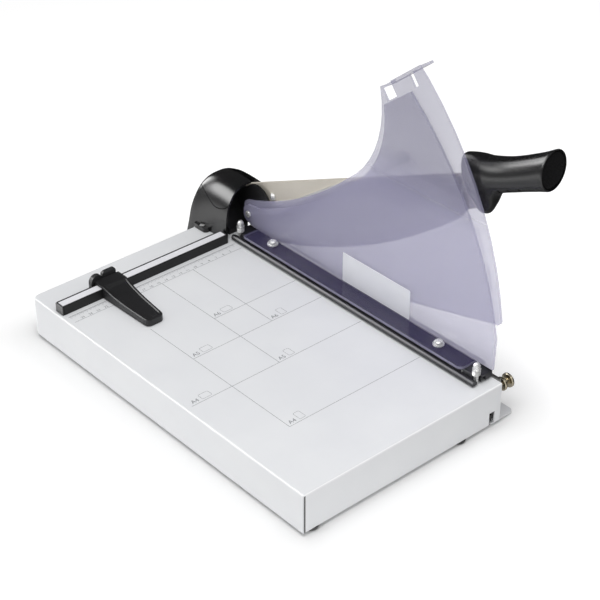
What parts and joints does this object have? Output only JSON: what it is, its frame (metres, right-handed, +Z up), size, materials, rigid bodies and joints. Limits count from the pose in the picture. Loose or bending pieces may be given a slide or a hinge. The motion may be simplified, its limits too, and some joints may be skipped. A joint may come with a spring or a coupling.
{
  "type": "guillotine paper cutter",
  "caption": "Guillotine paper cutter: grey steel table with a printed paper grid, side fence and sliding stop, sprung clamp, smoky clear guard and a curved knife on a lever arm.",
  "frame": {"origin": "centre of the front left foot, on its underside", "axes": "+X to the knife side, -Y to the user, +Z up out of the table"},
  "size_m": [0.3008, 0.4822, 0.3485],
  "materials": {
    "table_paint": "light grey powder coat, satin",
    "bed_steel": "ground steel, the rail behind it left plain",
    "knife_steel": "ground along the edge",
    "arm_steel": "beige grey paint, satin",
    "handle_plastic": "black, semi gloss with fine grain",
    "hood_plastic": "black, satin gloss",
    "stop_plastic": "black, satin",
    "fence_paint": "black paint, matt",
    "strip_white": "bare white strip",
    "clamp_paint": "black anodised look, satin",
    "guard_clear": "smoky clear sheet, polished",
    "foot_rubber": "black, matt",
    "zinc_steel": "zinc plated",
    "spring_steel": "bright wire",
    "knob_brass": "nickel plated brass, polished"
  },
  "bodies": {
    "base": {"base_tray": "table_paint", "bed_knife": "bed_steel", "bed_knife_screw_1": "zinc_steel", "bed_knife_screw_2": "zinc_steel", "bed_knife_screw_3": "zinc_steel", "bracket_screw_1": "zinc_steel", "bracket_screw_2": "zinc_steel", "dome_nut_front": "zinc_steel", "dome_nut_rear": "zinc_steel", "fence_bar": "fence_paint", "fence_end_cap": "stop_plastic", "fence_screw_1": "zinc_steel", "fence_screw_2": "zinc_steel", "fence_strip": "strip_white", "foot_front_left": "foot_rubber", "foot_front_right": "foot_rubber", "foot_rear_left": "foot_rubber", "foot_rear_right": "foot_rubber", "friction_washer": "zinc_steel", "guide_post_front": "zinc_steel", "guide_post_rear": "zinc_steel", "hood_lower": "hood_plastic", "hood_screw": "zinc_steel", "hood_upper": "hood_plastic", "knife_rail": "bed_steel", "lock_bush": "fence_paint", "pivot_bolt": "zinc_steel", "pivot_bracket": "fence_paint", "pivot_bush": "zinc_steel", "pivot_lock_nut": "zinc_steel", "shaft_bearing_front": "fence_paint", "shaft_bearing_rear": "fence_paint", "side_foot_plate": "table_paint", "spring_washer": "spring_steel"},
    "clamp": {"clamp_bar": "clamp_paint", "lift_pin_front": "zinc_steel", "lift_pin_rear": "zinc_steel", "clamp_spring_front": "spring_steel", "clamp_spring_rear": "spring_steel", "guard_front": "guard_clear", "guard_rear": "guard_clear", "guard_nose_bolt": "zinc_steel", "guard_bolt_front": "zinc_steel", "guard_bolt_rear": "zinc_steel"},
    "blade": {"blade_arm": "arm_steel", "knife": "knife_steel", "knife_screw_1": "zinc_steel", "knife_screw_2": "zinc_steel", "knife_screw_3": "zinc_steel", "arm_bolt": "zinc_steel", "handle_tab": "fence_paint", "handle_grip": "handle_plastic"},
    "rock": {"rock_shaft": "zinc_steel", "rock_crank_front": "zinc_steel", "rock_crank_rear": "zinc_steel", "cam_lever": "zinc_steel"},
    "stop": {"stop_body": "stop_plastic"},
    "lever": {"stop_lever": "stop_plastic", "stop_lever_pin": "zinc_steel"},
    "lock": {"lock_knob": "knob_brass"}
  },
  "joints": [
    {"name": "blade_swing", "type": "hinge", "parent": "base", "child": "blade", "pos_m": [0.2523, 0.415, 0.0695], "axis": [1, 0, 0], "range_deg": [-12, 24.7]},
    {"name": "clamp_press", "type": "slide", "parent": "base", "child": "clamp", "axis": [0, 0, 1], "range_m": [-0.00172, 0.00085], "deforming": ["clamp_spring_front", "clamp_spring_rear"]},
    {"name": "rock_swing", "type": "hinge", "parent": "base", "child": "rock", "pos_m": [0.2356, 0.375, 0.0123], "axis": [0, 1, 0], "range_deg": [-11.6, 5.7]},
    {"name": "stop_run", "type": "slide", "parent": "base", "child": "stop", "axis": [1, 0, 0], "range_m": [-0.038, 0.126]},
    {"name": "stop_lever_turn", "type": "hinge", "parent": "stop", "child": "lever", "pos_m": [0.06045, 0.3971, 0.0547], "axis": [1, 0, 0], "range_deg": [-20, 0], "stiffness_Nm_per_rad": 0.02},
    {"name": "lock_pull", "type": "slide", "parent": "base", "child": "lock", "axis": [1, 0, 0], "range_m": [0, 0.006], "stiffness_N_per_m": 200}
  ],
  "couplings": [
    {"joint": "clamp_press", "follows": "blade_swing", "m_per_rad": -0.00394},
    {"joint": "rock_swing", "follows": "blade_swing", "ratio": -0.46}
  ]
}
